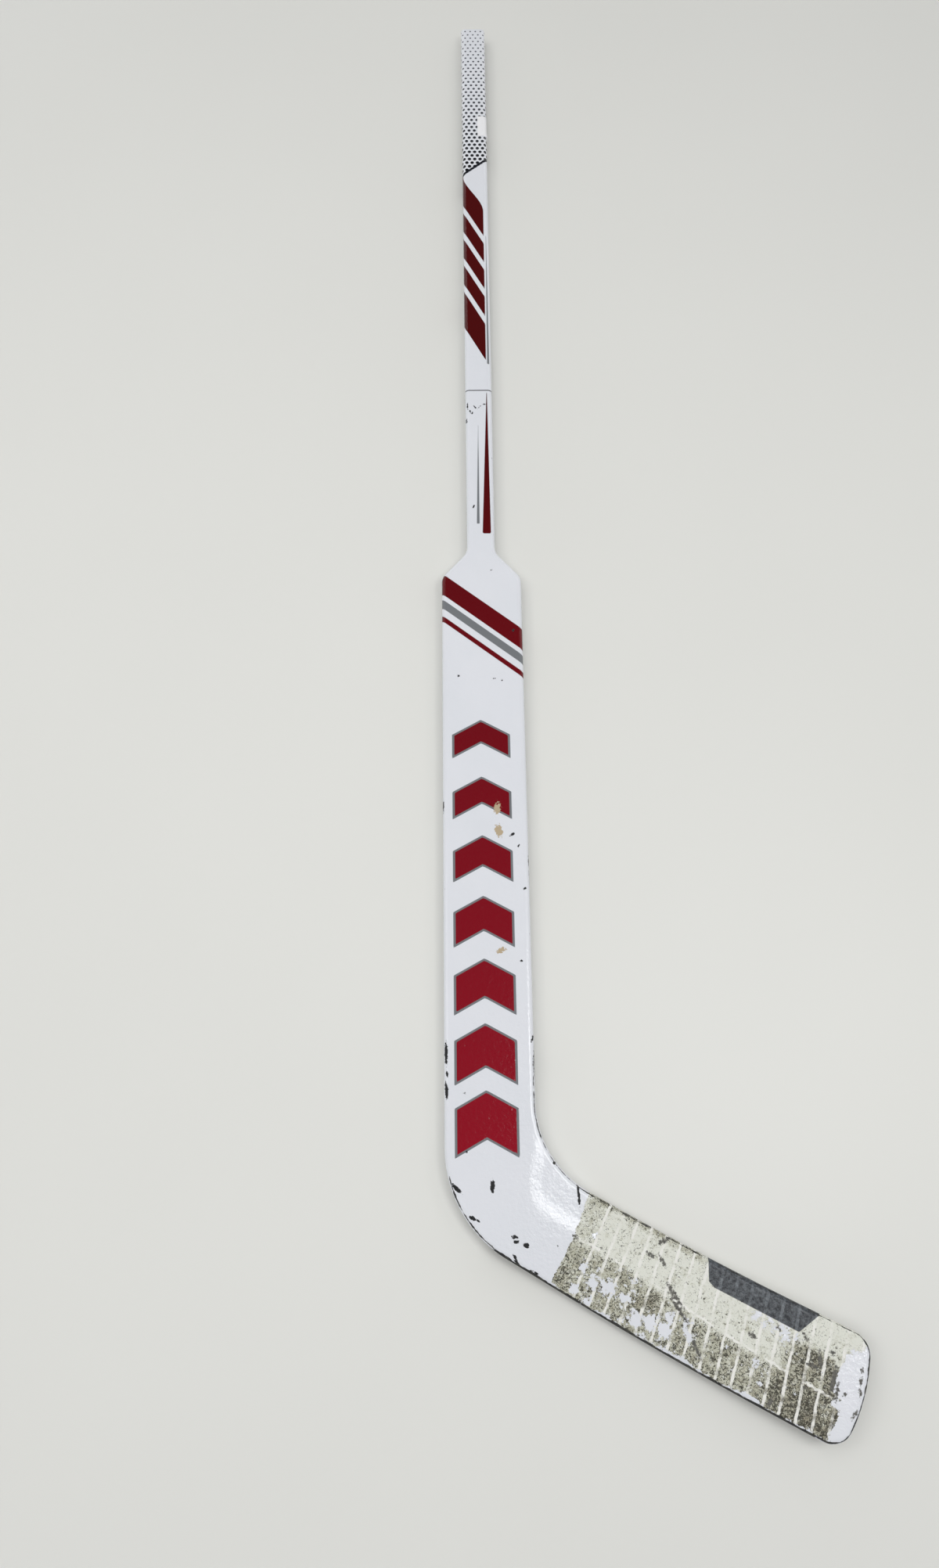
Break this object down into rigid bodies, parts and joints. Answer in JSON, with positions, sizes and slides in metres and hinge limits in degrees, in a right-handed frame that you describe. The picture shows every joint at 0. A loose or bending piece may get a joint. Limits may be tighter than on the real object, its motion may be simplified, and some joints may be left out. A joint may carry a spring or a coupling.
{
  "type": "hockey goalie stick",
  "caption": "Ice hockey goalie stick: rectangular tube shaft spliced to a neck that widens into a paddle and turns at the heel into a long, forward-curved blade.",
  "frame": {"origin": "on the flat back face, where the centre lines of shaft and blade cross", "axes": "+Y up the shaft to the butt end, +Z out of the front face, +X to the toe's side"},
  "size_m": [0.3631, 1.5878, 0.0281],
  "materials": {
    "white_lacquer": "gloss lacquer over fibre laminate",
    "white_plastic": "moulded",
    "laminate": "bare fibre laminate",
    "black_glue": "cured adhesive",
    "foam": "rigid closed-cell foam",
    "sticker_paper": "coated paper"
  },
  "bodies": {
    "root": {"shaft_tube": "white_lacquer", "butt_plug": "white_plastic", "splice_tenon": "laminate", "splice_bead": "black_glue", "front_skin": "white_lacquer", "back_skin": "white_lacquer", "paddle_spine": "laminate", "outer_paddle_core": "foam", "inner_paddle_core": "foam", "heel_core": "foam", "upper_blade_core": "foam", "blade_rib": "laminate", "lower_blade_core": "foam", "shaft_sticker": "sticker_paper"}
  },
  "joints": []
}
